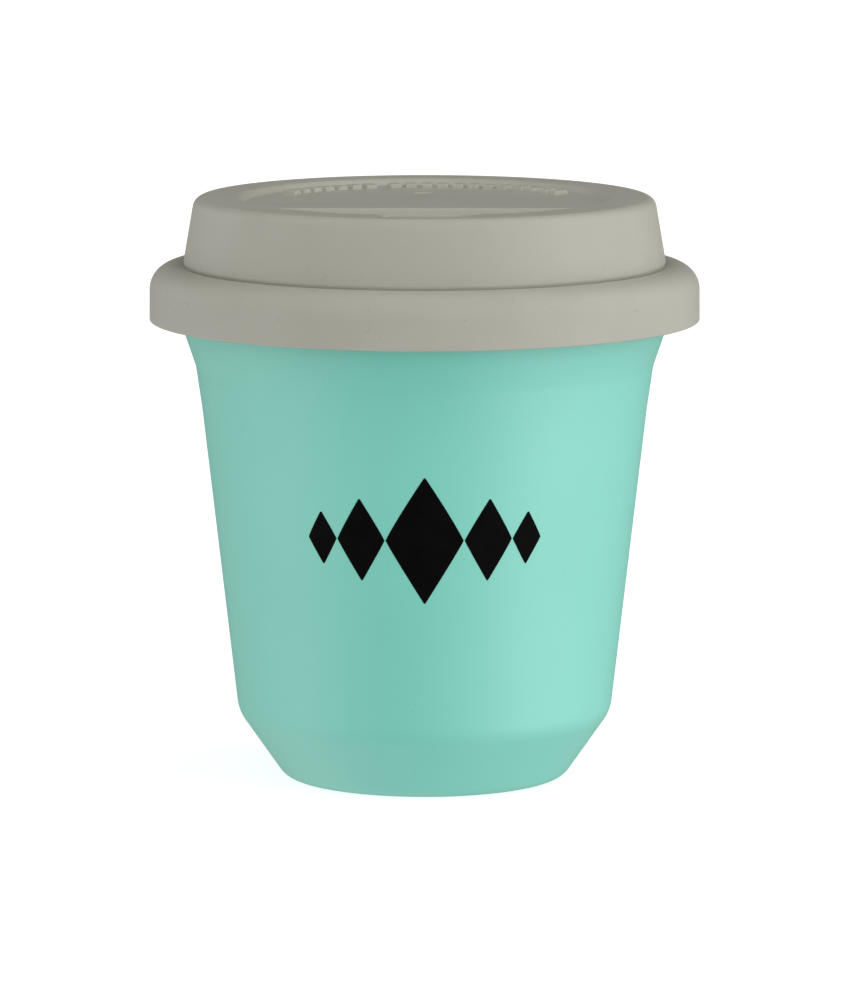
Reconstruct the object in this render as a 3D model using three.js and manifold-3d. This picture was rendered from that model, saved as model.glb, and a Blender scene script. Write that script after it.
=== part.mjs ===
// Reusable hot-drink cup, 8 oz, as a double-wall vacuum-insulated steel cup with a one-piece silicone lid.
// Millimetres, +Z up. The origin is the centre of the foot, on the surface that the cup stands on.
// The drinker's side, where the sip slot is, faces -Y.
import * as THREE from "three";
import { mergeVertices } from "three/addons/utils/BufferGeometryUtils.js";
import Module from "manifold-3d";

const wasm = await Module();
wasm.setup();

// ---------- driving dimensions ----------
const SEGMENTS = 48; // facets round the axis

// outer shell, outside face
const FOOT_INNER_R = 20.2; // inner edge of the ring the cup stands on
const FOOT_CORNER_R = 22.82; // where the foot plane and the chamfer would meet
const FOOT_FILLET = 3.1;
const CHAMFER_TOP = [30.42, 10.9]; // chamfer meets the main taper
const CHAMFER_FILLET = 6.5;
const SHOULDER = [36.14, 60.5]; // main taper opens very slightly
const SHOULDER_FILLET = 40;
const COLLAR_START = [37.16, 67.5]; // taper meets the flared collar
const COLLAR_FILLET = 5;
const COLLAR_MIDDLE = [38.9, 72.6]; // the flare opens further, under the lid
const COLLAR_MIDDLE_FILLET = 15;
const RIM_R = 42.1;
const LIP_START_Z = 80.3; // flared collar meets the upright lip
const LIP_FILLET = 2.5;
const SHELL_TOP_Z = 81.5;
const SHELL_WALL = 0.6;

// inner liner, vacuum-side face
const RIM_TOP_Z = 81.9;
const LINER_WALL = 0.5;
const LINER_BOTTOM_Z = 5.6;
const LINER_LIP_R = 41.45;
const LINER_CORNER = [26.62, 5.6];
const LINER_CORNER_FILLET = 9.5;
const LINER_COLLAR = [34.25, 66.9];
const LINER_COLLAR_FILLET = 18;
const LINER_LIP_START_Z = 80.85;
const LINER_LIP_FILLET = 1.4;

// bottom closure
const BOTTOM_WALL = 0.6;
const BOTTOM_RECESS_Z = 2.0; // underside of the closure plate
const BOTTOM_R = 20.15;
const SEAL_HOLE_R = 0.9;
const SEAL_DIMPLE_R = 3.2;
const COVER_R = 18.6;
const COVER_Z = [1.05, 1.6];
const GETTER_R = 4.2;
const GETTER_Z = [4.0, 5.1];

// lid
const LID_TOP_Z = 94.9;
const RING_INNER_R = 30.0; // inner edge of the flat top ring
const FLOOR_R = 28.7;
const FLOOR_Z = 93.65; // plateau of the recessed top
const CAP_TOP_CORNER = [37.3, 94.9];
const CAP_TOP_FILLET = 2.7;
const CAP_BASE = [39.11, 84.0]; // cap wall meets the flange
const CAP_BASE_FILLET = 0.9;
const FLANGE_R = 44.64;
const FLANGE_TOP_Z = 84.0;
const FLANGE_SHOULDER = 4.1;
const FLANGE_BOTTOM_Z = 74.9;
const SKIRT_INNER_R = 42.45;
const GROOVE_TOP_Z = 82.15; // just above the rim
const PLUG_R = 40.65; // ring that seals inside the mouth
const PLUG_BOTTOM_Z = 78.6;
const PLUG_INNER_R = 37.95;
const LID_WALL = 1.9;
const WELL_Z = 92.15; // floor of the deeper front well
const WELL_CHORD_Y = -7.2; // straight edge between plateau and well
const WELL_RAMP = 1.1; // run of the ramp below that edge
const SLOT_R = [30.8, 34.0];
const SLOT_LENGTH = 13.1;
const VENT = { y: 15.3, r: 1.5 };
const RIB = { r: [24.7, 27.4], width: 1.84, height: 0.6 };
const RIB_GROUPS = [
  [-57, -20.5, 7],
  [-11, 30.5, 8],
  [38, 57.5, 4],
]; // degrees from +Y, clockwise seen from above, and how many ribs

// ---------- helpers ----------
// A path of [r, z, fillet] corners as points, each fillet drawn with a few chords.
function roundedPath(corners, chords = 3) {
  const out = [];
  corners.forEach(([x, y, fillet], i) => {
    if (!fillet || i === 0 || i === corners.length - 1) {
      out.push([x, y]);
      return;
    }
    const p = new THREE.Vector2(x, y);
    const a = new THREE.Vector2(corners[i - 1][0], corners[i - 1][1]).sub(p).normalize();
    const b = new THREE.Vector2(corners[i + 1][0], corners[i + 1][1]).sub(p).normalize();
    const half = Math.acos(Math.max(-1, Math.min(1, a.dot(b)))) / 2;
    const t = fillet / Math.tan(half);
    const centre = a.clone().add(b).normalize().multiplyScalar(fillet / Math.sin(half)).add(p);
    const from = a.multiplyScalar(t).add(p).sub(centre);
    const to = b.multiplyScalar(t).add(p).sub(centre);
    const start = Math.atan2(from.y, from.x);
    let turn = Math.atan2(to.y, to.x) - start;
    while (turn > Math.PI) turn -= 2 * Math.PI;
    while (turn < -Math.PI) turn += 2 * Math.PI;
    for (let k = 0; k <= chords; k++) {
      const s = start + (turn * k) / chords;
      out.push([centre.x + fillet * Math.cos(s), centre.y + fillet * Math.sin(s)]);
    }
  });
  return out;
}

// The same path moved sideways by d, to its left going along it.
function offsetPath(path, d) {
  return path.map(([x, y], i) => {
    const dirs = [];
    if (i > 0) dirs.push(new THREE.Vector2(x - path[i - 1][0], y - path[i - 1][1]).normalize());
    if (i < path.length - 1) dirs.push(new THREE.Vector2(path[i + 1][0] - x, path[i + 1][1] - y).normalize());
    const normals = dirs.map((v) => new THREE.Vector2(-v.y, v.x));
    const m = normals.reduce((s, n) => s.add(n), new THREE.Vector2()).normalize();
    const k = d / m.dot(normals[0]);
    return [x + m.x * k, y + m.y * k];
  });
}

function faceOut(geometry) {
  const g = geometry.index ? geometry : mergeVertices(geometry);
  const p = g.getAttribute("position");
  const id = g.index.array;
  let volume = 0;
  const a = new THREE.Vector3(), b = new THREE.Vector3(), c = new THREE.Vector3();
  for (let i = 0; i < id.length; i += 3) {
    a.fromBufferAttribute(p, id[i]);
    b.fromBufferAttribute(p, id[i + 1]);
    c.fromBufferAttribute(p, id[i + 2]);
    volume += a.dot(b.cross(c));
  }
  if (volume < 0)
    for (let i = 0; i < id.length; i += 3) [id[i + 1], id[i + 2]] = [id[i + 2], id[i + 1]];
  return g;
}

// Only positions, shared where faces meet.
function welded(geometry) {
  const g = geometry.clone();
  for (const name of Object.keys(g.attributes)) if (name !== "position") g.deleteAttribute(name);
  const m = mergeVertices(g, 1e-4);
  const id = [];
  const src = m.index.array;
  for (let i = 0; i < src.length; i += 3)
    if (src[i] !== src[i + 1] && src[i + 1] !== src[i + 2] && src[i] !== src[i + 2])
      id.push(src[i], src[i + 1], src[i + 2]);
  m.setIndex(id);
  return faceOut(m);
}

// A closed [r, z] outline turned round the Z axis.
function turned(outline, segments = SEGMENTS) {
  const points = outline.map(([r, z]) => new THREE.Vector2(Math.max(0, r), z));
  const onAxis = outline[0][0] < 1e-9 && outline[outline.length - 1][0] < 1e-9;
  if (!onAxis) points.push(points[0].clone());
  return welded(new THREE.LatheGeometry(points, segments).rotateX(Math.PI / 2));
}

function solid(geometry) {
  const g = welded(geometry);
  return new wasm.Manifold(
    new wasm.Mesh({
      numProp: 3,
      vertProperties: new Float32Array(g.getAttribute("position").array),
      triVerts: new Uint32Array(g.index.array),
    }),
  );
}

function geometryOf(manifold) {
  const m = manifold.getMesh();
  const v = new Float32Array(m.numVert * 3);
  for (let i = 0; i < m.numVert; i++)
    v.set(m.vertProperties.subarray(i * m.numProp, i * m.numProp + 3), i * 3);
  return new THREE.BufferGeometry()
    .setAttribute("position", new THREE.BufferAttribute(v, 3))
    .setIndex(new THREE.BufferAttribute(new Uint32Array(m.triVerts), 1));
}

// ---------- materials ----------
const paint = new THREE.MeshStandardMaterial({ color: 0x83d3bf, roughness: 0.5, metalness: 0.0 });
const steel = new THREE.MeshStandardMaterial({ color: 0x9a9592, roughness: 0.35, metalness: 1.0 });
const silicone = new THREE.MeshStandardMaterial({ color: 0xaeaca0, roughness: 0.75, metalness: 0.0 });
const sealGlass = new THREE.MeshStandardMaterial({ color: 0x7d8a86, roughness: 0.3, metalness: 0.0 });
const getterAlloy = new THREE.MeshStandardMaterial({ color: 0x5c5c5e, roughness: 0.8, metalness: 0.6 });

// ---------- cup: outer shell ----------
const shellOutside = roundedPath([
  [FOOT_INNER_R, 0],
  [FOOT_CORNER_R, 0, FOOT_FILLET],
  [...CHAMFER_TOP, CHAMFER_FILLET],
  [...SHOULDER, SHOULDER_FILLET],
  [...COLLAR_START, COLLAR_FILLET],
  [...COLLAR_MIDDLE, COLLAR_MIDDLE_FILLET],
  [RIM_R, LIP_START_Z, LIP_FILLET],
  [RIM_R, SHELL_TOP_Z],
]);
const shellInside = offsetPath(shellOutside, SHELL_WALL);
const outerShell = new THREE.Mesh(turned([...shellOutside, ...shellInside.reverse()]), paint);
outerShell.name = "outer_shell";

// ---------- cup: inner liner, its lip folded over the shell's edge ----------
const linerOutside = roundedPath([
  [0, LINER_BOTTOM_Z],
  [...LINER_CORNER, LINER_CORNER_FILLET],
  [...LINER_COLLAR, LINER_COLLAR_FILLET],
  [LINER_LIP_R, LINER_LIP_START_Z, LINER_LIP_FILLET],
  [LINER_LIP_R, SHELL_TOP_Z + 0.02],
], 4);
const linerInside = offsetPath(linerOutside, LINER_WALL);
linerInside[0] = [0, LINER_BOTTOM_Z + LINER_WALL];
linerInside[linerInside.length - 1] = [LINER_LIP_R - LINER_WALL, RIM_TOP_Z - 0.2];
const linerLip = [
  [RIM_R, SHELL_TOP_Z + 0.02],
  [RIM_R, RIM_TOP_Z - 0.15],
  [RIM_R - 0.2, RIM_TOP_Z],
  [LINER_LIP_R - LINER_WALL + 0.2, RIM_TOP_Z],
];
const liner = new THREE.Mesh(turned([...linerOutside, ...linerLip, ...linerInside.reverse()]), steel);
liner.name = "inner_liner";

// ---------- cup: bottom closure plate with its evacuation dimple and hole ----------
const closure = new THREE.Mesh(
  turned([
    [SEAL_HOLE_R, BOTTOM_RECESS_Z + 0.7],
    [SEAL_DIMPLE_R - 0.9, BOTTOM_RECESS_Z + 0.7],
    [SEAL_DIMPLE_R, BOTTOM_RECESS_Z],
    [BOTTOM_R - 1.2, BOTTOM_RECESS_Z],
    [BOTTOM_R - 0.75, BOTTOM_RECESS_Z - 0.5],
    [BOTTOM_R - 0.6, 0.05],
    [BOTTOM_R, 0.05],
    [BOTTOM_R, BOTTOM_RECESS_Z],
    [BOTTOM_R - 0.6, BOTTOM_RECESS_Z + BOTTOM_WALL],
    [SEAL_DIMPLE_R + 0.4, BOTTOM_RECESS_Z + BOTTOM_WALL],
    [SEAL_DIMPLE_R - 0.6, BOTTOM_RECESS_Z + 0.7 + BOTTOM_WALL],
    [SEAL_HOLE_R, BOTTOM_RECESS_Z + 0.7 + BOTTOM_WALL],
  ]),
  steel,
);
closure.name = "bottom_closure";

// ---------- cup: glass bead that seals the evacuation hole ----------
const bead = new THREE.Mesh(
  turned(
    [
      [0, 1.78],
      [1.0, 1.86],
      [1.8, 2.12],
      [2.1, 2.42],
      [1.9, 2.66],
      [0.8, 2.66],
      [0.8, 3.1],
      [0, 3.22],
    ],
    24,
  ),
  sealGlass,
);
bead.name = "vacuum_seal";

// ---------- cup: cover disc in the foot recess ----------
const cover = new THREE.Mesh(
  turned([
    [0, COVER_Z[0]],
    [COVER_R - 0.25, COVER_Z[0]],
    [COVER_R, COVER_Z[0] + 0.2],
    [COVER_R, COVER_Z[1]],
    [0, COVER_Z[1]],
  ]),
  steel,
);
cover.name = "bottom_cover";

// ---------- cup: getter pellet and the clip that holds it under the liner ----------
const getter = new THREE.Mesh(
  turned(
    [
      [0, GETTER_Z[0]],
      [GETTER_R - 0.2, GETTER_Z[0]],
      [GETTER_R, GETTER_Z[0] + 0.2],
      [GETTER_R, GETTER_Z[1] - 0.2],
      [GETTER_R - 0.2, GETTER_Z[1]],
      [0, GETTER_Z[1]],
    ],
    24,
  ).translate(11, 0, 0),
  getterAlloy,
);
getter.name = "getter_pellet";

const clipShape = new THREE.Shape();
[
  [-8.6, 5.2],
  [-5.0, 5.2],
  [-5.0, 3.7],
  [5.0, 3.7],
  [5.0, 5.2],
  [8.6, 5.2],
  [8.6, 5.5],
  [4.7, 5.5],
  [4.7, 4.0 - 0.06],
  [-4.7, 4.0 - 0.06],
  [-4.7, 5.5],
  [-8.6, 5.5],
].forEach(([x, y], i) => (i ? clipShape.lineTo(x, y) : clipShape.moveTo(x, y)));
const clip = new THREE.Mesh(
  welded(
    new THREE.ExtrudeGeometry(clipShape, { depth: 4, bevelEnabled: false })
      .translate(0, 0, -2)
      .rotateX(Math.PI / 2)
      .translate(11, 0, 0),
  ),
  steel,
);
clip.name = "getter_clip";

// ---------- lid ----------
const lidOutside = roundedPath([
  [0, FLOOR_Z],
  [FLOOR_R, FLOOR_Z],
  [RING_INNER_R, LID_TOP_Z],
  [...CAP_TOP_CORNER, CAP_TOP_FILLET],
  [...CAP_BASE, CAP_BASE_FILLET],
  [FLANGE_R, FLANGE_TOP_Z, FLANGE_SHOULDER],
  [FLANGE_R, FLANGE_BOTTOM_Z + 0.5],
  [FLANGE_R - 0.5, FLANGE_BOTTOM_Z],
]);
const lidInside = [
  [SKIRT_INNER_R + 0.3, FLANGE_BOTTOM_Z],
  [SKIRT_INNER_R, FLANGE_BOTTOM_Z + 0.3],
  [SKIRT_INNER_R, GROOVE_TOP_Z],
  [PLUG_R, GROOVE_TOP_Z],
  [PLUG_R, 80.9],
  [PLUG_R - 1.4, PLUG_BOTTOM_Z],
  [PLUG_INNER_R, PLUG_BOTTOM_Z],
  [37.05, 84.2],
  [35.8, 91.8],
  [34.7, LID_TOP_Z - LID_WALL],
  [RING_INNER_R + LID_WALL + 0.35, LID_TOP_Z - LID_WALL],
  [RING_INNER_R + 0.3, FLOOR_Z - LID_WALL],
  [0, FLOOR_Z - LID_WALL],
];
const lidShell = solid(turned([...lidOutside, ...lidInside]));

// A D-shaped block: what lies in front of the straight edge, inside a cone.
function dBlock(rBottom, zBottom, rTop, zTop, edgeY, run) {
  const cone = solid(
    new THREE.CylinderGeometry(rTop, rBottom, zTop - zBottom, SEGMENTS)
      .rotateX(Math.PI / 2)
      .translate(0, 0, (zTop + zBottom) / 2),
  );
  const side = new THREE.Shape();
  // x is Y of the part, y is Z of the part
  [
    [edgeY, zTop],
    [-60, zTop],
    [-60, zBottom],
    [edgeY - run, zBottom],
  ].forEach(([x, y], i) => (i ? side.lineTo(x, y) : side.moveTo(x, y)));
  const wedge = solid(
    new THREE.ExtrudeGeometry(side, { depth: 120, bevelEnabled: false })
      .translate(0, 0, -60)
      .applyMatrix4(new THREE.Matrix4().set(0, 0, 1, 0, 1, 0, 0, 0, 0, 1, 0, 0, 0, 0, 0, 1)),
  );
  return cone.intersect(wedge);
}

const wellOutside = dBlock(28.9, WELL_Z - LID_WALL, 30.2, FLOOR_Z - 0.05, WELL_CHORD_Y + 1.6, WELL_RAMP);
const wellInside = dBlock(27.45, WELL_Z, FLOOR_R - 0.02, FLOOR_Z + 0.01, WELL_CHORD_Y, WELL_RAMP);

const slotCutter = solid(
  new THREE.ExtrudeGeometry(
    (() => {
      const half = SLOT_LENGTH / 2, r0 = SLOT_R[0], r1 = SLOT_R[1];
      const s = new THREE.Shape();
      const spread = half / ((r0 + r1) / 2);
      const n = 8, c = (r0 + r1) / 2, w = (r1 - r0) / 2;
      const at = (r, a) => [r * Math.sin(a), -r * Math.cos(a)];
      const points = [];
      const inner = spread - w / c;
      for (let i = 0; i <= n; i++) points.push(at(r1, -inner + (2 * inner * i) / n));
      for (let i = 1; i < 4; i++) {
        const t = (Math.PI * i) / 4;
        points.push(at(c + w * Math.cos(t), inner + (w * Math.sin(t)) / c));
      }
      for (let i = 0; i <= n; i++) points.push(at(r0, inner - (2 * inner * i) / n));
      for (let i = 1; i < 4; i++) {
        const t = (Math.PI * i) / 4;
        points.push(at(c - w * Math.cos(t), -inner - (w * Math.sin(t)) / c));
      }
      points.forEach(([x, y], i) => (i ? s.lineTo(x, y) : s.moveTo(x, y)));
      return s;
    })(),
    { depth: 8, bevelEnabled: false },
  ).translate(0, 0, 90.6),
);
const ventCutter = solid(
  new THREE.CylinderGeometry(VENT.r, VENT.r, 8, 20).rotateX(Math.PI / 2).translate(0, VENT.y, 92),
);

let lidSolid = lidShell.add(wellOutside).subtract(wellInside).subtract(slotCutter).subtract(ventCutter);
for (const [from, to, count] of RIB_GROUPS)
  for (let i = 0; i < count; i++) {
    const a = THREE.MathUtils.degToRad(from + ((to - from) * i) / (count - 1));
    const rib = new THREE.BoxGeometry(RIB.width, RIB.r[1] - RIB.r[0], RIB.height + 0.4)
      .translate(0, (RIB.r[0] + RIB.r[1]) / 2, FLOOR_Z + (RIB.height - 0.4) / 2)
      .rotateZ(-a);
    lidSolid = lidSolid.add(solid(rib));
  }
const lid = new THREE.Mesh(geometryOf(lidSolid), silicone);
lid.name = "silicone_lid";

// ---------- assembly ----------
const cup = new THREE.Group();
cup.add(outerShell, liner, closure, bead, cover, getter, clip);
const object = new THREE.Group();
object.add(cup, lid);

export default object;
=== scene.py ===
import math

import bpy
import numpy as np
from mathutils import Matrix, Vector
from mathutils.geometry import delaunay_2d_cdt


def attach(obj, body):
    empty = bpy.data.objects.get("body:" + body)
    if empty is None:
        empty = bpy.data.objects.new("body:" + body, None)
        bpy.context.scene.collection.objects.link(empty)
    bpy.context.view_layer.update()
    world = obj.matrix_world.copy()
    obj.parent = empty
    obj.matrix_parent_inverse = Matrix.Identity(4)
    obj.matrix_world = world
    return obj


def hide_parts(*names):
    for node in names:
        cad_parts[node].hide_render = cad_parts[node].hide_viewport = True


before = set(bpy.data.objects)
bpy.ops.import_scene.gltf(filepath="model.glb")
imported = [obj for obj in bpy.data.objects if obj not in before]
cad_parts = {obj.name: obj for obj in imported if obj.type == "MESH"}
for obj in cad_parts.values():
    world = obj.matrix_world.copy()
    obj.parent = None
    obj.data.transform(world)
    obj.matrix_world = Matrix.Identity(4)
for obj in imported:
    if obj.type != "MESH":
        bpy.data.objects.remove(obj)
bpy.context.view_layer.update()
MM = 0.001
scene = bpy.context.scene


# ---------------------------------------------------------------- mesh helpers
def rounded_path(corners, step=7.0):
    """Corners (r, z[, fillet]) as points, with each fillet drawn every `step` degrees."""
    out = []
    for i, c in enumerate(corners):
        fillet = c[2] if len(c) > 2 else 0
        p = np.array(c[:2], float)
        if not fillet or i in (0, len(corners) - 1):
            out.append(p)
            continue
        a = np.array(corners[i - 1][:2], float) - p
        b = np.array(corners[i + 1][:2], float) - p
        a /= np.linalg.norm(a)
        b /= np.linalg.norm(b)
        half = math.acos(float(np.clip(a @ b, -1, 1))) / 2
        t = fillet / math.tan(half)
        m = (a + b) / np.linalg.norm(a + b)
        centre = p + m * fillet / math.sin(half)
        u, v = p + a * t - centre, p + b * t - centre
        start = math.atan2(u[1], u[0])
        turn = (math.atan2(v[1], v[0]) - start + math.pi) % (2 * math.pi) - math.pi
        n = max(3, math.ceil(abs(math.degrees(turn)) / step))
        for k in range(n + 1):
            s = start + turn * k / n
            out.append(centre + fillet * np.array([math.cos(s), math.sin(s)]))
    return np.array(out)


def offset_path(path, d):
    """The path moved by d to its left."""
    seg = np.diff(path, axis=0)
    seg /= np.linalg.norm(seg, axis=1)[:, None]
    nrm = np.stack([-seg[:, 1], seg[:, 0]], 1)
    first, last = nrm[:1], nrm[-1:]
    n0, n1 = np.vstack([first, nrm]), np.vstack([nrm, last])
    m = n0 + n1
    m /= np.linalg.norm(m, axis=1)[:, None]
    k = d / np.sum(m * n0, axis=1)
    return path + m * k[:, None]


def densify(path, longest=1.6):
    """Extra points on long straight stretches."""
    out = [path[0]]
    for a, b in zip(path[:-1], path[1:]):
        n = max(1, math.ceil(np.linalg.norm(b - a) / longest))
        for k in range(1, n + 1):
            out.append(a + (b - a) * k / n)
    return np.array(out)


def ring_points(r, z, n):
    a = np.arange(n) * 2 * math.pi / n
    return np.stack([r * np.cos(a), r * np.sin(a), np.full(n, z)], 1)


def lathe(outline, n=256, closed=True):
    """Verts and faces of an (r, z) outline turned round Z. An open outline starts and ends on the axis, or is left open."""
    verts, rows, faces = [], [], []
    for r, z in outline:
        if r < 1e-7:
            rows.append([len(verts)] * n)
            verts.append(np.array([[0, 0, z]]))
            verts_len = 1
        else:
            start = sum(len(v) for v in verts)
            rows.append(list(range(start, start + n)))
            verts.append(ring_points(r, z, n))
            continue
        rows[-1] = [sum(len(v) for v in verts) - 1] * n
    pairs = list(zip(rows[:-1], rows[1:]))
    if closed:
        pairs.append((rows[-1], rows[0]))
    for a, b in pairs:
        for i in range(n):
            j = (i + 1) % n
            f = [a[i], a[j], b[j], b[i]]
            f = [v for k, v in enumerate(f) if v != f[k - 1]]
            if len(f) > 2:
                faces.append(f)
    return np.vstack(verts), faces


def make_object(name, verts_mm, faces, material, body, replaces=(), smooth=True, sharp=None):
    mesh = bpy.data.meshes.new(name)
    mesh.from_pydata([tuple(v) for v in np.asarray(verts_mm) * MM], [], [list(f) for f in faces])
    mesh.validate()
    mesh.update()
    # outward faces: the signed volume is positive
    tri_vol = 0.0
    co = np.array([v.co for v in mesh.vertices])
    for p in mesh.polygons:
        v = [co[i] for i in p.vertices]
        for k in range(1, len(v) - 1):
            tri_vol += np.dot(v[0], np.cross(v[k], v[k + 1]))
    if tri_vol < 0:
        mesh.flip_normals()
    obj = bpy.data.objects.new(name, mesh)
    scene.collection.objects.link(obj)
    mesh.materials.append(material)
    if smooth:
        mesh.shade_smooth()
        if sharp:
            mesh.set_sharp_from_angle(angle=math.radians(sharp))
    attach(obj, body)
    if replaces:
        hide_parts(*replaces)
    return obj


# ---------------------------------------------------------------- material helpers
def new_material(name):
    m = bpy.data.materials.new(name)
    m.use_nodes = True
    nt = m.node_tree
    for n in list(nt.nodes):
        nt.nodes.remove(n)
    out = nt.nodes.new("ShaderNodeOutputMaterial")
    bsdf = nt.nodes.new("ShaderNodeBsdfPrincipled")
    nt.links.new(bsdf.outputs[0], out.inputs[0])
    return m, nt, bsdf


def srgb(r, g, b, a=1.0):
    def f(c):
        c /= 255
        return c / 12.92 if c <= 0.04045 else ((c + 0.055) / 1.055) ** 2.4

    return (f(r), f(g), f(b), a)


def add(nt, kind, **values):
    n = nt.nodes.new(kind)
    for k, v in values.items():
        if k in n.inputs:
            n.inputs[k].default_value = v
        else:
            setattr(n, k, v)
    return n


def coords(nt):
    return add(nt, "ShaderNodeTexCoord").outputs["Object"]


def noise(nt, vector, scale, detail=3.0, rough=0.5, distortion=0.0):
    n = add(nt, "ShaderNodeTexNoise")
    n.inputs["Scale"].default_value = scale
    n.inputs["Detail"].default_value = detail
    n.inputs["Roughness"].default_value = rough
    n.inputs["Distortion"].default_value = distortion
    nt.links.new(vector, n.inputs["Vector"])
    return n.outputs["Fac"]


def ramp(nt, fac, stops, interpolation="LINEAR"):
    n = add(nt, "ShaderNodeValToRGB")
    n.color_ramp.interpolation = interpolation
    els = n.color_ramp.elements
    while len(els) > 1:
        els.remove(els[-1])
    els[0].position, els[0].color = stops[0][0], stops[0][1]
    for pos, col in stops[1:]:
        e = els.new(pos)
        e.color = col
    nt.links.new(fac, n.inputs["Fac"])
    return n.outputs["Color"]


def grey(v):
    return (v, v, v, 1)


def mix(nt, fac, a, b, blend="MIX"):
    n = add(nt, "ShaderNodeMix", data_type="RGBA", blend_type=blend)
    for sock, v in ((n.inputs[0], fac), (n.inputs[6], a), (n.inputs[7], b)):
        if hasattr(v, "is_linked") or isinstance(v, bpy.types.NodeSocket):
            nt.links.new(v, sock)
        else:
            sock.default_value = v
    return n.outputs[2]


def mathn(nt, op, a, b=None, c=None, clamp=False):
    n = add(nt, "ShaderNodeMath", operation=op, use_clamp=clamp)
    for sock, v in zip(n.inputs, (a, b, c)):
        if v is None:
            continue
        if isinstance(v, bpy.types.NodeSocket):
            nt.links.new(v, sock)
        else:
            sock.default_value = v
    return n.outputs[0]


def bump(nt, height, distance, strength=1.0, normal=None):
    n = add(nt, "ShaderNodeBump")
    n.inputs["Strength"].default_value = strength
    n.inputs["Distance"].default_value = distance
    nt.links.new(height, n.inputs["Height"])
    if normal is not None:
        nt.links.new(normal, n.inputs["Normal"])
    return n.outputs["Normal"]


def mapped(nt, vector, scale=(1, 1, 1), rotation=(0, 0, 0), location=(0, 0, 0)):
    n = add(nt, "ShaderNodeMapping")
    n.inputs["Scale"].default_value = scale
    n.inputs["Rotation"].default_value = rotation
    n.inputs["Location"].default_value = location
    nt.links.new(vector, n.inputs["Vector"])
    return n.outputs["Vector"]


# ---------------------------------------------------------------- materials
def mint_paint():
    m, nt, b = new_material("mint_paint")
    v = coords(nt)
    cloud = noise(nt, v, 38, 3, 0.55)
    fine = noise(nt, v, 1500, 2, 0.6)
    col = ramp(nt, cloud, [(0.3, srgb(120, 204, 187)), (0.7, srgb(123, 207, 190))])
    speck = ramp(nt, noise(nt, v, 1500, 1, 0.4), [(0.745, grey(0)), (0.79, grey(1))])
    col = mix(nt, mathn(nt, "MULTIPLY", speck, 0.16), col, srgb(96, 160, 146))
    nt.links.new(col, b.inputs["Base Color"])
    rough = add(nt, "ShaderNodeMapRange")
    rough.inputs["To Min"].default_value = 0.34
    rough.inputs["To Max"].default_value = 0.41
    nt.links.new(noise(nt, v, 240, 4, 0.6), rough.inputs["Value"])
    nt.links.new(rough.outputs[0], b.inputs["Roughness"])
    b.inputs["IOR"].default_value = 1.66
    peel = noise(nt, v, 420, 2, 0.5)
    n1 = bump(nt, peel, 0.00012, 0.20)
    n2 = bump(nt, fine, 0.00004, 0.25, n1)
    nt.links.new(n2, b.inputs["Normal"])
    return m


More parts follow.
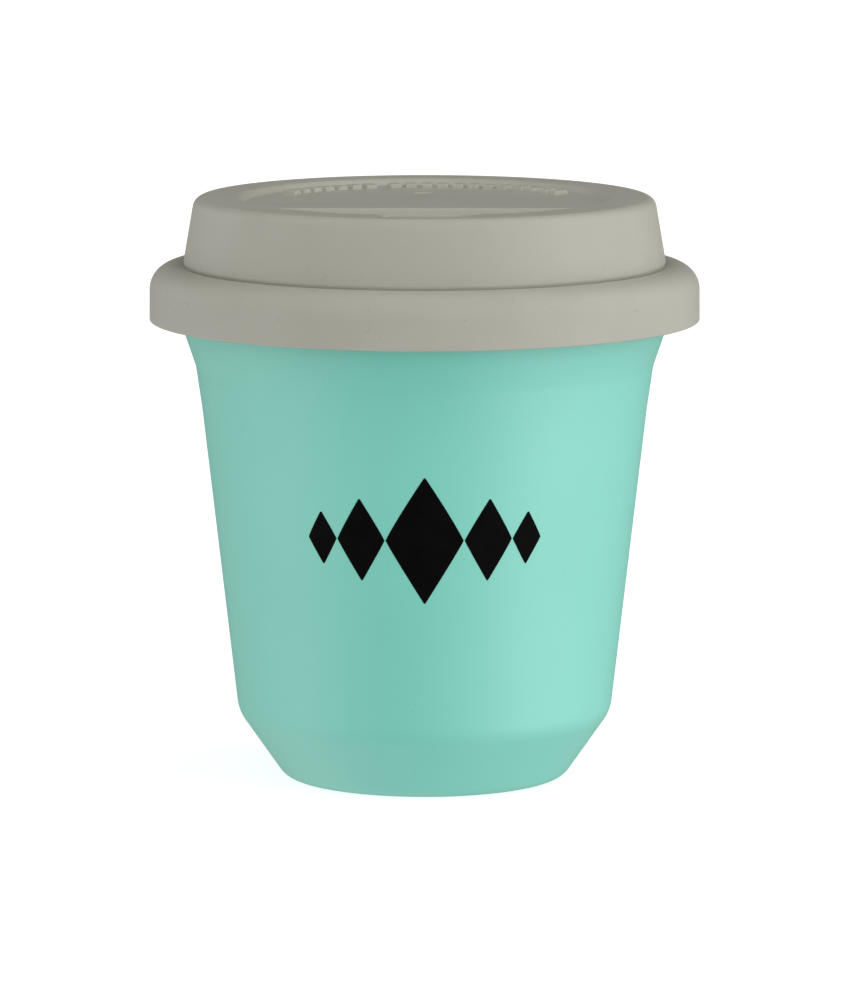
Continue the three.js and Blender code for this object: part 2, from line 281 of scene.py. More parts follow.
def silicone():
    m, nt, b = new_material("silicone")
    v = coords(nt)
    cloud = noise(nt, v, 55, 4, 0.6)
    col = ramp(nt, cloud, [(0.25, srgb(166, 164, 152)), (0.75, srgb(172, 171, 160))])
    # lint: a short curved hair in some cells, and dust specks
    for scale, reach, width, dark, amount in (
        (215, 0.00065, 0.000055, (112, 109, 100), 0.6),
        (150, 0.00050, 0.000040, (206, 204, 198), 0.45),
    ):
        cell = add(nt, "ShaderNodeTexVoronoi")
        cell.inputs["Scale"].default_value = scale
        nt.links.new(v, cell.inputs["Vector"])
        local = add(nt, "ShaderNodeVectorMath", operation="SUBTRACT")
        nt.links.new(v, local.inputs[0])
        pos = cell.outputs["Position"]
        nt.links.new(pos, local.inputs[1])
        p = local.outputs[0]
        aim = add(nt, "ShaderNodeVectorMath", operation="SUBTRACT")
        nt.links.new(cell.outputs["Color"], aim.inputs[0])
        aim.inputs[1].default_value = (0.5, 0.5, 0.5)
        unit = add(nt, "ShaderNodeVectorMath", operation="NORMALIZE")
        nt.links.new(aim.outputs[0], unit.inputs[0])
        across = add(nt, "ShaderNodeVectorMath", operation="DOT_PRODUCT")
        nt.links.new(p, across.inputs[0])
        nt.links.new(unit.outputs[0], across.inputs[1])
        far = add(nt, "ShaderNodeVectorMath", operation="LENGTH")
        nt.links.new(p, far.inputs[0])
        dist = far.outputs["Value"]
        bend = mathn(nt, "MULTIPLY", mathn(nt, "MULTIPLY", dist, dist), 0.33 / reach)
        off = mathn(nt, "ABSOLUTE", mathn(nt, "SUBTRACT", across.outputs["Value"], bend))
        thin = mathn(nt, "SUBTRACT", 1.0, mathn(nt, "DIVIDE", off, width, clamp=True), clamp=True)
        inside_ball = mathn(nt, "LESS_THAN", dist, reach)
        hair = mathn(nt, "MULTIPLY", thin, inside_ball)
        col = mix(nt, mathn(nt, "MULTIPLY", hair, amount), col, srgb(*dark))
    for scale, size, tone, amount in ((240, 0.00015, (110, 108, 100), 0.45), (200, 0.00012, (212, 210, 204), 0.5)):
        dots = add(nt, "ShaderNodeTexVoronoi")
        dots.inputs["Scale"].default_value = scale
        nt.links.new(mapped(nt, v, location=(0.013, 0.007, scale * 1e-5)), dots.inputs["Vector"])
        dot = ramp(nt, mathn(nt, "DIVIDE", dots.outputs["Distance"], size * scale), [(0.5, grey(1)), (1.0, grey(0))])
        col = mix(nt, mathn(nt, "MULTIPLY", dot, amount), col, srgb(*tone))
    nt.links.new(col, b.inputs["Base Color"])
    rough = add(nt, "ShaderNodeMapRange")
    rough.inputs["To Min"].default_value = 0.40
    rough.inputs["To Max"].default_value = 0.50
    nt.links.new(noise(nt, v, 130, 4, 0.6), rough.inputs["Value"])
    nt.links.new(rough.outputs[0], b.inputs["Roughness"])
    b.inputs["IOR"].default_value = 1.5
    b.inputs["Subsurface Weight"].default_value = 0.3
    b.inputs["Subsurface Radius"].default_value = (1.0, 0.92, 0.8)
    b.inputs["Subsurface Scale"].default_value = 0.0011
    grain = noise(nt, v, 1900, 2, 0.6)
    soft = noise(nt, v, 160, 2, 0.5)
    n1 = bump(nt, soft, 0.00010, 0.14)
    n2 = bump(nt, grain, 0.00005, 0.30, n1)
    nt.links.new(n2, b.inputs["Normal"])
    return m


def turned_steel(name="steel", tint=(154, 148, 143), rough=(0.24, 0.34)):
    m, nt, b = new_material(name)
    v = coords(nt)
    sep = add(nt, "ShaderNodeSeparateXYZ")
    nt.links.new(v, sep.inputs[0])
    x2 = mathn(nt, "MULTIPLY", sep.outputs[0], sep.outputs[0])
    y2 = mathn(nt, "MULTIPLY", sep.outputs[1], sep.outputs[1])
    r = mathn(nt, "SQRT", mathn(nt, "ADD", x2, y2))
    comb = add(nt, "ShaderNodeCombineXYZ")
    nt.links.new(r, comb.inputs[0])
    nt.links.new(sep.outputs[2], comb.inputs[1])
    lines = noise(nt, mapped(nt, comb.outputs[0], (9000, 9000, 1)), 1.0, 3, 0.6)
    cloud = noise(nt, v, 60, 3, 0.5)
    col = mix(nt, ramp(nt, lines, [(0.3, grey(0)), (0.7, grey(1))]),
              srgb(*[c * 0.95 for c in tint]), srgb(*[min(255, c * 1.06) for c in tint]))
    nt.links.new(col, b.inputs["Base Color"])
    b.inputs["Metallic"].default_value = 1.0
    rr = add(nt, "ShaderNodeMapRange")
    rr.inputs["To Min"].default_value, rr.inputs["To Max"].default_value = rough
    nt.links.new(cloud, rr.inputs["Value"])
    nt.links.new(rr.outputs[0], b.inputs["Roughness"])
    nt.links.new(bump(nt, lines, 0.00002, 0.35), b.inputs["Normal"])
    return m


def ink():
    m, nt, b = new_material("print_ink")
    v = coords(nt)
    col = ramp(nt, noise(nt, v, 300, 3, 0.5), [(0.3, srgb(3, 3, 3)), (0.7, srgb(7, 7, 7))])
    nt.links.new(col, b.inputs["Base Color"])
    rr = add(nt, "ShaderNodeMapRange")
    rr.inputs["To Min"].default_value, rr.inputs["To Max"].default_value = 0.55, 0.68
    nt.links.new(noise(nt, v, 500, 3, 0.5), rr.inputs["Value"])
    nt.links.new(rr.outputs[0], b.inputs["Roughness"])
    b.inputs["Specular IOR Level"].default_value = 0.04
    nt.links.new(bump(nt, noise(nt, v, 1500, 2, 0.5), 0.00002, 0.3), b.inputs["Normal"])
    return m


def glassy():
    m, nt, b = new_material("seal_glass")
    v = coords(nt)
    col = ramp(nt, noise(nt, v, 500, 3, 0.5), [(0.3, srgb(104, 116, 112)), (0.7, srgb(128, 140, 134))])
    nt.links.new(col, b.inputs["Base Color"])
    b.inputs["Roughness"].default_value = 0.2
    nt.links.new(bump(nt, noise(nt, v, 700, 2, 0.5), 0.0001, 0.3), b.inputs["Normal"])
    return m


def powder_metal():
    m, nt, b = new_material("getter")
    v = coords(nt)
    col = ramp(nt, noise(nt, v, 3000, 3, 0.6), [(0.3, srgb(70, 70, 72)), (0.7, srgb(104, 104, 106))])
    nt.links.new(col, b.inputs["Base Color"])
    b.inputs["Metallic"].default_value = 0.6
    b.inputs["Roughness"].default_value = 0.8
    nt.links.new(bump(nt, noise(nt, v, 2600, 3, 0.6), 0.00008, 0.6), b.inputs["Normal"])
    return m


MINT, SILICONE, STEEL, INK = mint_paint(), silicone(), turned_steel(), ink()
GLASSY, GETTER = glassy(), powder_metal()

# ---------------------------------------------------------------- the cup
RIM_R, SHELL_TOP, RIM_TOP = 42.1, 81.5, 81.9
SHELL_OUT = [
    (20.2, 0.0),
    (22.82, 0.0, 3.1),
    (30.42, 10.9, 6.5),
    (36.14, 60.5, 40.0),
    (37.16, 67.5, 5.0),
    (38.9, 72.6, 15.0),
    (RIM_R, 80.3, 2.5),
    (RIM_R, SHELL_TOP),
]
outside = rounded_path(SHELL_OUT, 2.5)
inside = offset_path(outside, 0.6)
shell_outline = np.vstack([densify(outside, 2.0), densify(inside, 2.0)[::-1]])
v, f = lathe(shell_outline, 288)
shell = make_object("cup_shell", v, f, MINT, "cup", ["outer_shell"], sharp=50)


def shell_radius(z):
    i = int(np.searchsorted(outside[1:, 1], z)) + 1
    (r0, z0), (r1, z1) = outside[i - 1], outside[i]
    return r0 + (r1 - r0) * (z - z0) / (z1 - z0)


LINER_OUT = [
    (0.0, 5.6),
    (26.62, 5.6, 9.5),
    (34.25, 66.9, 18.0),
    (41.45, 80.85, 1.4),
    (41.45, SHELL_TOP + 0.02),
]
lo = rounded_path(LINER_OUT, 3.0)
li = offset_path(lo, 0.5)
li[0] = (0.0, 6.1)
li = li[:-1]
roll = [
    (42.1, SHELL_TOP + 0.02),
    (42.1, 81.62),
    (42.06, 81.74),
    (41.97, 81.83),
    (41.83, 81.885),
    (41.65, 81.9),
    (41.4, 81.885),
    (41.2, 81.82),
    (41.06, 81.7),
    (40.97, 81.5),
]
lip = [p for p in roll]
liner_outline = np.vstack([densify(lo, 2.5), lip, densify(li, 2.5)[::-1]])
v, f = lathe(liner_outline, 288)
liner = make_object("cup_liner", v, f, STEEL, "cup", ["inner_liner"], sharp=60)

# foot: closure plate and its cover, with a turned step
closure = [
    (0.9, 2.7), (2.3, 2.7), (2.45, 2.66), (3.1, 2.06), (3.25, 2.0), (18.9, 2.0), (19.15, 1.93),
    (19.34, 1.72), (19.42, 1.4), (19.5, 0.4), (19.55, 0.12), (19.62, 0.05), (20.1, 0.05), (20.15, 0.1),
    (20.15, 2.0), (19.55, 2.6), (3.6, 2.6), (2.6, 3.3), (0.9, 3.3),
]
v, f = lathe(np.array(closure), 224)
make_object("foot_plate", v, f, STEEL, "cup", ["bottom_closure"], sharp=45)
cover = [
    (0, 1.12), (11.0, 1.12), (11.25, 1.15), (11.45, 1.3), (12.1, 1.3), (12.3, 1.15), (12.5, 1.1),
    (18.0, 1.06), (18.35, 1.07), (18.52, 1.14), (18.6, 1.28), (18.6, 1.52), (18.55, 1.58), (18.4, 1.6), (0, 1.6),
]
v, f = lathe(np.array(cover), 224, closed=False)
make_object("foot_cover", v, f, STEEL, "cup", ["bottom_cover"], sharp=45)

# sealed inner pieces keep their CAD shape
for node, mat in (("vacuum_seal", GLASSY), ("getter_pellet", GETTER), ("getter_clip", STEEL)):
    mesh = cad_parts[node].data
    mesh.materials.clear()
    mesh.materials.append(mat)


# ---------------------------------------------------------------- printed ornament: five graded diamonds
def diamond_patch(cx_deg, zc, half_w, half_h, lift=0.035, sink=0.06, n=26):
    """A diamond with slightly eased corners, as a thin closed layer wrapped on the cup's wall."""
    verts, faces = [], []

    def ease(t):
        return max(0.0, 1 - abs(t))

    idx = {}
    rows = np.linspace(-1, 1, 2 * n + 1)
    cols = np.linspace(-1, 1, 2 * n + 1)
    for side in (0, 1):
        for i, tv in enumerate(rows):
            w = (1 - abs(tv) ** 1.06) * half_w + 0.12
            for j, tu in enumerate(cols):
                z = zc + tv * half_h
                s = tu * w
                rad = shell_radius(z) + (lift if side == 0 else -sink)
                a = math.radians(cx_deg) + s / shell_radius(zc)
                idx[side, i, j] = len(verts)
                verts.append((rad * math.sin(a), -rad * math.cos(a), z))
    m = len(cols)
    for i in range(len(rows) - 1):
        for j in range(m - 1):
            faces.append([idx[0, i, j], idx[0, i, j + 1], idx[0, i + 1, j + 1], idx[0, i + 1, j]])
            faces.append([idx[1, i, j], idx[1, i + 1, j], idx[1, i + 1, j + 1], idx[1, i, j + 1]])
    for i in range(len(rows) - 1):
        faces.append([idx[0, i, 0], idx[0, i + 1, 0], idx[1, i + 1, 0], idx[1, i, 0]])
        faces.append([idx[0, i + 1, m - 1], idx[0, i, m - 1], idx[1, i, m - 1], idx[1, i + 1, m - 1]])
    for j in range(m - 1):
        faces.append([idx[0, 0, j + 1], idx[0, 0, j], idx[1, 0, j], idx[1, 0, j + 1]])
        k = len(rows) - 1
        faces.append([idx[0, k, j], idx[0, k, j + 1], idx[1, k, j + 1], idx[1, k, j]])
    return verts, faces


R_PRINT = shell_radius(43.5)
DIAMONDS = [(0.0, 6.1, 10.2), (10.3, 3.8, 6.6), (-10.3, 3.8, 6.6), (16.9, 2.4, 4.2), (-16.9, 2.4, 4.2)]
for k, (s, hw, hh) in enumerate(DIAMONDS):
    v, f = diamond_patch(math.degrees(s / R_PRINT), 43.5, hw, hh)
    make_object(f"ornament_{k + 1}", v, f, INK, "cup", sharp=30)

# ---------------------------------------------------------------- the lid
FLOOR_Z, TOP_Z, WELL_DEPTH = 93.9, 94.9, 1.6
CHORD_Y, RUN = -9.3, 1.1
R_TOP = 35.779  # where the flat ring turns into the shoulder
VENT_Y, VENT_R = 15.3, 1.5
SLOT_RC, SLOT_W, SLOT_HALF = 32.4, 1.6, 6.55
RIB_R = (24.7, 27.4)
RIB_HALF_W, RIB_UP = 0.92, 0.6
RIB_GROUPS = [(-57, -20.5, 7), (-11, 30.5, 8), (38, 57.5, 4)]
RIBS = [math.radians(a + (b - a) * i / (n - 1)) for a, b, n in RIB_GROUPS for i in range(n)]


def soft_step(d, run, fillet, fillet_top=None):
    """0 at d<=0 to 1 at d>=run, a straight ramp with rounded ends."""
    t = d / run

    def softplus(u, k):
        # smooth max(0, u) with a rounding half-width k
        return np.where(u < -k, 0.0, np.where(u > k, u, (u + k) ** 2 / (4 * k)))

    return softplus(t, fillet / run) - softplus(t - 1, (fillet_top or fillet) / run)


def smooth_min(a, b, k):
    h = np.clip(0.5 + 0.5 * (b - a) / k, 0, 1)
    return b * (1 - h) + a * h - k * h * (1 - h)


def slot_sdf(x, y):
    r = np.hypot(x, y)
    s = np.arctan2(x, -y) * SLOT_RC
    return np.hypot(np.maximum(np.abs(s) - (SLOT_HALF - SLOT_W), 0), r - SLOT_RC) - SLOT_W


def vent_sdf(x, y):
    return np.hypot(x, y - VENT_Y) - VENT_R


def rib_sdf(x, y):
    """Signed distance to the nearest rib's rounded outline, negative inside."""
    best = np.full(np.shape(x), 1e9)
    for a in RIBS:
        u = x * math.cos(a) - y * math.sin(a)
        w = x * math.sin(a) + y * math.cos(a) - (RIB_R[0] + RIB_R[1]) / 2
        q = 0.22
        dx = np.abs(u) - (RIB_HALF_W - q)
        dy = np.abs(w) - ((RIB_R[1] - RIB_R[0]) / 2 - q)
        d = np.hypot(np.maximum(dx, 0), np.maximum(dy, 0)) + np.minimum(np.maximum(dx, dy), 0) - q
        best = np.minimum(best, d)
    return best


def edge_drop(d, rho):
    """How far a surface falls within rho of a hole's edge, rounding over into its wall."""
    t = np.clip(rho - d, 0, rho)
    return rho - np.sqrt(np.maximum(rho * rho - t * t, 0))


def top_height(x, y):
    r = np.hypot(x, y)
    h = FLOOR_Z + (TOP_Z - FLOOR_Z) * soft_step(r - 29.0, 1.1, 0.12, 0.5)
    d = smooth_min(CHORD_Y - y, 29.0 - r, 1.6)
    h = h - WELL_DEPTH * soft_step(d, RUN, 0.32)
    h = h + RIB_UP * soft_step(0.05 - rib_sdf(x, y), 0.16, 0.07)
    return h - edge_drop(slot_sdf(x, y), 0.45) - edge_drop(vent_sdf(x, y), 0.4)


def under_height(x, y):
    r = np.hypot(x, y)
    h = 91.75 + 1.25 * soft_step(r - 30.6, 1.5, 0.5)
    d = smooth_min(CHORD_Y + 1.7 - y, 30.3 - r, 2.2)
    h = h - WELL_DEPTH * soft_step(d, 1.3, 0.5)
    return h + edge_drop(slot_sdf(x, y), 0.3) + edge_drop(vent_sdf(x, y), 0.3)


def slot_contour(offset, n_side=40, n_end=22):
    """The slot's outline grown by offset, drawn in (arc length, radius) and wrapped on the ring."""
    w, reach = SLOT_W + offset, SLOT_HALF - SLOT_W
    flat = [(-reach + 2 * reach * i / n_side, w) for i in range(n_side + 1)]
    flat += [(reach + w * math.sin(math.pi * i / n_end), w * math.cos(math.pi * i / n_end)) for i in range(1, n_end)]
    flat += [(-s, -r) for s, r in flat]
    return np.array([((SLOT_RC + r) * math.sin(s / SLOT_RC), -(SLOT_RC + r) * math.cos(s / SLOT_RC)) for s, r in flat])


def inside_outline(points, outline):
    """Even-odd test of points against a closed outline."""
    x, y = points[:, 0], points[:, 1]
    inside = np.zeros(len(points), bool)
    for (x0, y0), (x1, y1) in zip(outline, np.roll(outline, -1, axis=0)):
        crosses = (y0 > y) != (y1 > y)
        with np.errstate(divide="ignore", invalid="ignore"):
            at = x0 + (y - y0) * (x1 - x0) / (y1 - y0)
        inside ^= crosses & (x < at)
    return inside


def vent_contour(offset, n=56):
    a = np.arange(n) * 2 * math.pi / n
    return np.stack([(VENT_R + offset) * np.cos(a), VENT_Y + (VENT_R + offset) * np.sin(a)], 1)


def patch(height, r_edge, n_edge, holes, features, coarse=1.5):
    """A surface z = height(x, y) over a disc with holes, triangulated through the given feature points.
    Returns verts (N,3), triangles, the edge's vertex ids and each hole's vertex ids."""
    a = np.arange(n_edge) * 2 * math.pi / n_edge
    pts = [np.stack([r_edge * np.cos(a), r_edge * np.sin(a)], 1)] + list(holes)
    fixed = np.vstack(pts)
    # thin out the free points so that none is closer than its own spacing to one before it
    cell = {}
    size = 0.5

    def near(p, gap):
        ci, cj = int(math.floor(p[0] / size)), int(math.floor(p[1] / size))
        reach = int(math.ceil(gap / size))
        for i in range(ci - reach, ci + reach + 1):
            for j in range(cj - reach, cj + reach + 1):
                for q in cell.get((i, j), ()):
                    if (q[0] - p[0]) ** 2 + (q[1] - p[1]) ** 2 < gap * gap:
                        return True
        return False

    def put(p):
        cell.setdefault((int(math.floor(p[0] / size)), int(math.floor(p[1] / size))), []).append(p)

    for p in fixed:
        put((float(p[0]), float(p[1])))
    free = []
    g = np.arange(-r_edge, r_edge + coarse, coarse)
    fill = [(gx + (0.5 * coarse if k % 2 else 0), gy) for k, gy in enumerate(g) for gx in g]
    for group, gap in list(features) + [(np.array(fill), coarse * 0.7)]:
        for p in group:
            p = (float(p[0]), float(p[1]))
            if math.hypot(*p) > r_edge - 0.25 * min(gap, 0.6):
                continue
            if slot_sdf(*p) < 0.03 or vent_sdf(*p) < 0.03:
                continue
            if not near(p, gap):
                put(p)
                free.append(p)
    allp = [Vector((float(p[0]), float(p[1]))) for p in fixed] + [Vector(p) for p in free]
    edges, start = [], 0
    loops = []
    for group in pts:
        n = len(group)
        ids = list(range(start, start + n))
        loops.append(ids)
        edges += [(ids[i], ids[(i + 1) % n]) for i in range(n)]
        start += n
    vs, _, faces, ov, _, _ = delaunay_2d_cdt(allp, edges, [], 0, 1e-7)
    remap = {}
    for new, olds in enumerate(ov):
        for old in olds:
            remap[old] = new
    xy = np.array([[q.x, q.y] for q in vs])
    middle = np.array([xy[list(t)].mean(0) for t in faces])
    drop = np.hypot(middle[:, 0], middle[:, 1]) > r_edge
    for hole in holes:
        drop |= inside_outline(middle, hole)
    keep = [list(t) for t, gone in zip(faces, drop) if not gone]
    z = height(xy[:, 0], xy[:, 1])
    return np.column_stack([xy, z]), keep, [[remap[i] for i in ids] for ids in loops]


def circles(radii, n):
    out = []
    for k, r in enumerate(radii):
        a = (np.arange(n) + 0.5 * (k % 2)) * 2 * math.pi / n
        out.append(np.stack([r * np.cos(a), r * np.sin(a)], 1))
    return np.vstack(out)


def chord_rows(offsets, y0, r_max, step):
    out = []
    for k, o in enumerate(offsets):
        y = y0 + o
        x = math.sqrt(max(0, r_max**2 - y * y))
        n = max(2, int(2 * x / step))
        out.append(np.array([(-x + 2 * x * (i + 0.5 * (k % 2)) / n, y) for i in range(n)]))
    return np.vstack(out)


def corner_grid(y0, r, size, step):
    x0 = math.sqrt(r * r - y0 * y0)
    g = np.arange(-size, size + step, step)
    out = [(s * x0 + gx, y0 + gy) for s in (-1, 1) for gx in g for gy in g]
    return np.array(out)


def rib_points():
    out = []
    us = np.array([-1.3, -1.12, -1.02, -0.965, -0.905, -0.845, -0.76, -0.6, -0.3, 0, 0.3, 0.6, 0.76, 0.845, 0.905, 0.965, 1.02, 1.12, 1.3])
    half = (RIB_R[1] - RIB_R[0]) / 2
    edge = np.array([0.38, 0.21, 0.11, 0.05, -0.01, -0.07, -0.15, -0.3])
    ws = np.concatenate([-(half + edge), np.linspace(-half + 0.6, half - 0.6, 7), (half + edge)[::-1]])
    for a in RIBS:
        for u in us:
            for w in ws:
                rr = (RIB_R[0] + RIB_R[1]) / 2 + w
                out.append((u * math.cos(a) + rr * math.sin(a), -u * math.sin(a) + rr * math.cos(a)))
    return np.array(out)


N_LID = 360
top_features = [
    (np.vstack([slot_contour(o) for o in (0.04, 0.1, 0.18, 0.28, 0.4, 0.52, 0.75)]), 0.035),
    (np.vstack([vent_contour(o) for o in (0.04, 0.1, 0.17, 0.26, 0.36, 0.46, 0.7)]), 0.035),
    (rib_points(), 0.045),
    (corner_grid(CHORD_Y - 0.5, 28.4, 2.2, 0.17), 0.1),
    (circles([30.9, 30.65, 30.5, 30.35, 30.2, 30.05, 29.9, 29.75, 29.6, 29.4, 29.2, 29.12, 29.06, 29.0, 28.94, 28.88, 28.75,
              28.6, 28.45, 28.3, 28.1, 27.9, 27.75, 27.6, 27.3, 26.8], N_LID), 0.055),
    (chord_rows([1.2, 0.6, 0.3, 0.15, 0.0, -0.15, -0.3, -0.5, -0.7, -0.85, -1.0, -1.15, -1.3, -1.6, -2.2], CHORD_Y, 27.4, 0.45), 0.1),
    (circles([31.2, 32.0, 33.0, 34.0, 34.7, 35.2], 240), 0.3),
]
under_features = [
    (np.vstack([slot_contour(o) for o in (0.05, 0.14, 0.28, 0.45)]), 0.045),
    (np.vstack([vent_contour(o) for o in (0.05, 0.14, 0.28, 0.45)]), 0.045),
    (corner_grid(CHORD_Y + 1.0, 29.2, 2.5, 0.35), 0.2),
    (circles([33.2, 32.7, 32.4, 32.1, 31.8, 31.5, 31.2, 30.9, 30.6, 30.3, 30.0, 29.6, 29.3, 29.0, 28.7, 28.3, 27.8], 240), 0.2),
    (chord_rows([0.8, 0.4, 0.1, -0.2, -0.5, -0.8, -1.1, -1.4, -1.8, -2.4], CHORD_Y + 1.7, 29.0, 0.8), 0.2),
]
tv, tf, tl = patch(top_height, R_TOP, N_LID, [slot_contour(0), vent_contour(0)], top_features)
R_UNDER = 34.2
uv_, uf, ul = patch(under_height, R_UNDER, N_LID, [slot_contour(0), vent_contour(0)], under_features, 2.2)

CROWN_R, CROWN_Z, CROWN = 40.56, 79.96, 4.04  # the flange's rounded crown, which dips into the crease
LID_SIDE = [
    (R_TOP, 94.9),
    (37.3, 94.9, 1.8),
    (39.11, 84.3, 1.2),
    (38.92, 83.65, 0.04),
] + [
    (CROWN_R + CROWN * math.cos(math.radians(a)), CROWN_Z + CROWN * math.sin(math.radians(a))) for a in range(112, -1, -4)
] + [
    (44.64, 74.9, 0.3),
    (42.45, 74.9, 0.35),
    (42.45, 82.15, 0.35),
    (40.65, 82.15, 0.3),
    (40.65, 80.9, 0.6),
    (39.15, 78.6, 0.5),
    (37.95, 78.6, 0.4),
    (37.05, 84.2, 2.0),
    (35.8, 93.0, 1.6),
    (R_UNDER, 93.0),
]
side = rounded_path(LID_SIDE, 5.0)
side = densify(side[1:], 1.2)  # the first fillet starts on the ring's edge
side[0] = (R_TOP, 94.9)
sv, sf = lathe(side, N_LID, closed=False)
# join the patches and the turned side; the side's first and last rings are the patches' edges
verts = [tv, uv_, sv]
base_u, base_s = len(tv), len(tv) + len(uv_)
alias = {}
n_rows = len(side)
for i in range(N_LID):
    alias[base_s + i] = tl[0][i]
    alias[base_s + (n_rows - 1) * N_LID + i] = base_u + ul[0][i]
faces = [list(t) for t in tf]
faces += [[base_u + i for i in reversed(t)] for t in uf]
faces += [[alias.get(base_s + i, base_s + i) for i in reversed(q)] for q in sf]
allv = np.vstack(verts)
extra = []
for h in (1, 2):
    a_ids, b_ids = tl[h], [base_u + i for i in ul[h]]
    n = len(a_ids)
    levels = 5
    grid = [a_ids]
    for k in range(1, levels):
        row = []
        for i in range(n):
            p = allv[a_ids[i]] * (1 - k / levels) + allv[b_ids[i]] * (k / levels)
            row.append(len(allv) + len(extra))
            extra.append(p)
        grid.append(row)
    grid.append(b_ids)
    for a_row, b_row in zip(grid[:-1], grid[1:]):
        for i in range(n):
            j = (i + 1) % n
            faces.append([a_row[i], b_row[i], b_row[j], a_row[j]])
allv = np.vstack([allv, np.array(extra)])
used = sorted({i for q in faces for i in q})
back = {old: new for new, old in enumerate(used)}
allv = allv[used]
faces = [[back[i] for i in q] for q in faces]
import bmesh

lid_mesh = bpy.data.meshes.new("lid")
lid_mesh.from_pydata([tuple(p * MM) for p in allv], [], faces)
bm = bmesh.new()
bm.from_mesh(lid_mesh)
bmesh.ops.recalc_face_normals(bm, faces=bm.faces)
open_edges = sum(1 for e in bm.edges if len(e.link_faces) != 2)
bm.to_mesh(lid_mesh)
bm.free()
print("lid: verts", len(allv), "faces", len(faces), "open edges", open_edges)
lid_mesh.materials.append(SILICONE)
lid_mesh.shade_smooth()
lid = bpy.data.objects.new("lid", lid_mesh)
scene.collection.objects.link(lid)
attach(lid, "lid")
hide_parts("silicone_lid")

# ---------------------------------------------------------------- floor, light, camera
floor_mat, nt, b = new_material("floor")
b.inputs["Base Color"].default_value = (0.55, 0.55, 0.55, 1)
b.inputs["Roughness"].default_value = 0.9
b.inputs["Specular IOR Level"].default_value = 0.1
b.inputs["Emission Color"].default_value = (1, 1, 1, 1)
b.inputs["Emission Strength"].default_value = FLOOR_GLOW = 0.72
# one-sided, so that the foot and the lid's underside can be looked at from below
side = add(nt, "ShaderNodeNewGeometry")
clear = add(nt, "ShaderNodeBsdfTransparent")
either = add(nt, "ShaderNodeMixShader")
nt.links.new(side.outputs["Backfacing"], either.inputs[0])
nt.links.new(b.outputs[0], either.inputs[1])
nt.links.new(clear.outputs[0], either.inputs[2])
nt.links.new(either.outputs[0], nt.nodes["Material Output"].inputs[0])
bowl = [(0.0, 0.0), (0.3, 0.0), (1.0, 0.0), (2.6, 0.0)] + [
    (2.6 + 1.6 * math.sin(math.radians(a)), 1.6 - 1.6 * math.cos(math.radians(a))) for a in range(5, 91, 5)
] + [(4.2, 5.0)]
v, f = lathe(np.array(bowl), 96, closed=False)
fm = bpy.data.meshes.new("floor")
fm.from_pydata([tuple(p) for p in v], [], f)
if sum(p.normal.z for p in fm.polygons) < 0:
    fm.flip_normals()
fm.materials.append(floor_mat)
fm.shade_smooth()
floor = bpy.data.objects.new("floor", fm)
floor.location = (0, 0, -0.00005)
scene.collection.objects.link(floor)
# a back-lit table: it shows and takes the cup's shadow, and the studio's light passes through it
floor.visible_diffuse = floor.visible_glossy = floor.visible_transmission = floor.visible_shadow = False


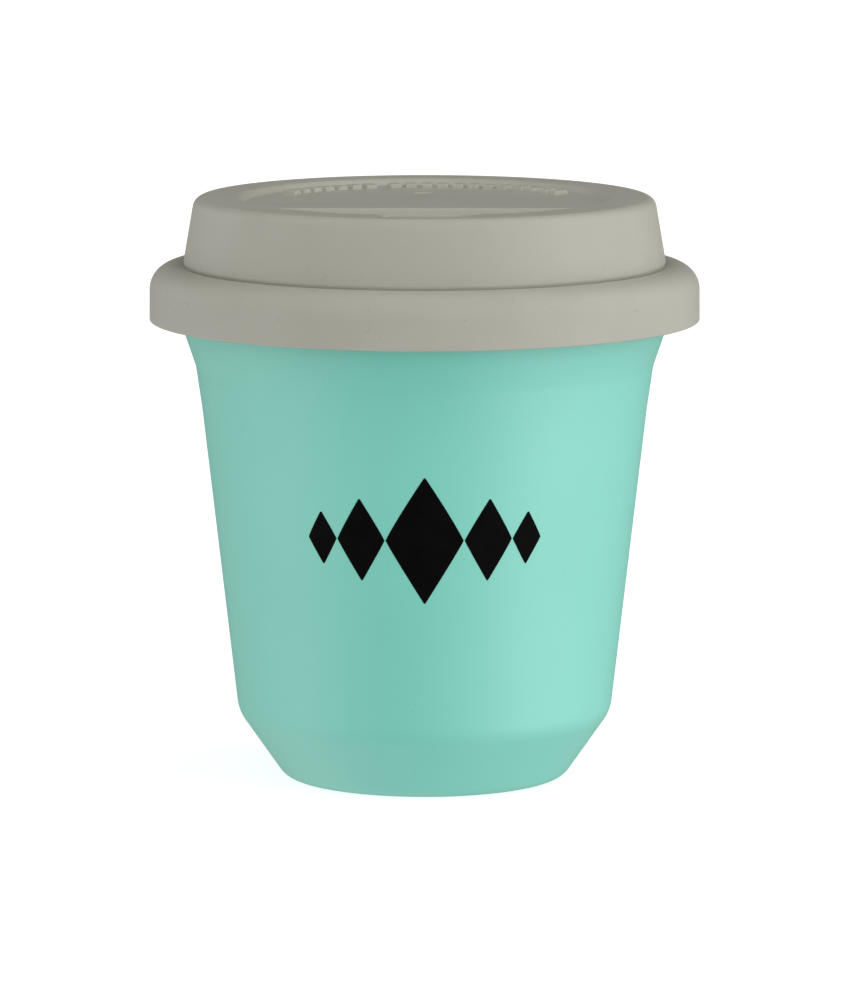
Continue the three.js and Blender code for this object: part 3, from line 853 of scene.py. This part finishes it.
def studio(lobes, ambient=0.0):
    """The studio as soft round lights at infinity: (azimuth, elevation, half width, strength).
    Azimuth 0 is the camera's side (-Y); positive is towards +X."""
    world = bpy.data.worlds.get("studio") or bpy.data.worlds.new("studio")
    scene.world = world
    world.use_nodes = True
    wt = world.node_tree
    for n in list(wt.nodes):
        wt.nodes.remove(n)
    out = wt.nodes.new("ShaderNodeOutputWorld")
    bg = wt.nodes.new("ShaderNodeBackground")
    wt.links.new(bg.outputs[0], out.inputs[0])
    d = wt.nodes.new("ShaderNodeTexCoord").outputs["Generated"]
    total = None
    for azimuth, elevation, half, strength in lobes:
        a, e = math.radians(azimuth), math.radians(elevation)
        k = math.log(2) / (1 - math.cos(math.radians(half)))
        dot = add(wt, "ShaderNodeVectorMath", operation="DOT_PRODUCT")
        wt.links.new(d, dot.inputs[0])
        dot.inputs[1].default_value = (math.sin(a) * math.cos(e), -math.cos(a) * math.cos(e), math.sin(e))
        level = mathn(wt, "EXPONENT", mathn(wt, "MULTIPLY", mathn(wt, "SUBTRACT", dot.outputs["Value"], 1.0), k))
        total = mathn(wt, "MULTIPLY_ADD", level, strength, ambient if total is None else total)
    wt.links.new(total, bg.inputs["Color"])
    bg.inputs["Strength"].default_value = 1.0
    return world


LOBES = [
    (0, 88, 26, 0.843),
    (-90, 42, 22, 0.435),
    (-45, 42, 22, 0.685),
    (45, 42, 22, 0.464),
    (90, 42, 22, 1.331),
    (-150, 12, 18, 0.085),
    (-120, 12, 18, 0.845),
    (-90, 12, 18, 0.555),
    (-60, 12, 18, 0.328),
    (-30, 12, 18, 0.656),
    (0, 12, 18, 1.198),
    (30, 12, 18, 0.933),
    (60, 12, 18, 1.015),
    (90, 12, 18, 0.553),
    (120, 12, 18, 0.616),
    (-150, -18, 18, 0.192),
    (-90, -18, 18, 0.738),
    (-60, -18, 18, 0.842),
    (30, -18, 18, 0.324),
    (60, -18, 18, 1.397),
    (90, -18, 18, 0.985),
    (120, -18, 18, 0.444),
    (150, -18, 18, 0.209),
    (-120, -50, 26, 0.851),
    (-60, -50, 26, 0.311),
    (60, -50, 26, 0.549),
    (120, -50, 26, 0.211),
    (180, -50, 26, 0.302),
    (0, -88, 26, 0.232),
]
studio(LOBES)

cam_data = bpy.data.cameras.new("camera")
cam_data.sensor_fit = "AUTO"
cam_data.sensor_width = 36
cam_data.lens = 36 * 6840 / 1000
cam_data.clip_start, cam_data.clip_end = 0.05, 50
cam = bpy.data.objects.new("camera", cam_data)
th = math.radians(8.18)
dist = 6840 * 0.163 * MM
target = Vector((-0.00026, 0, 277.1 * 0.163 * MM))
cam.location = target + dist * Vector((0, -math.cos(th), math.sin(th)))
cam.rotation_euler = (target - cam.location).to_track_quat("-Z", "Y").to_euler()
scene.collection.objects.link(cam)
scene.camera = cam

scene.view_settings.view_transform = "Standard"
scene.view_settings.look = "None"
scene.view_settings.exposure = 0
scene.view_settings.gamma = 1
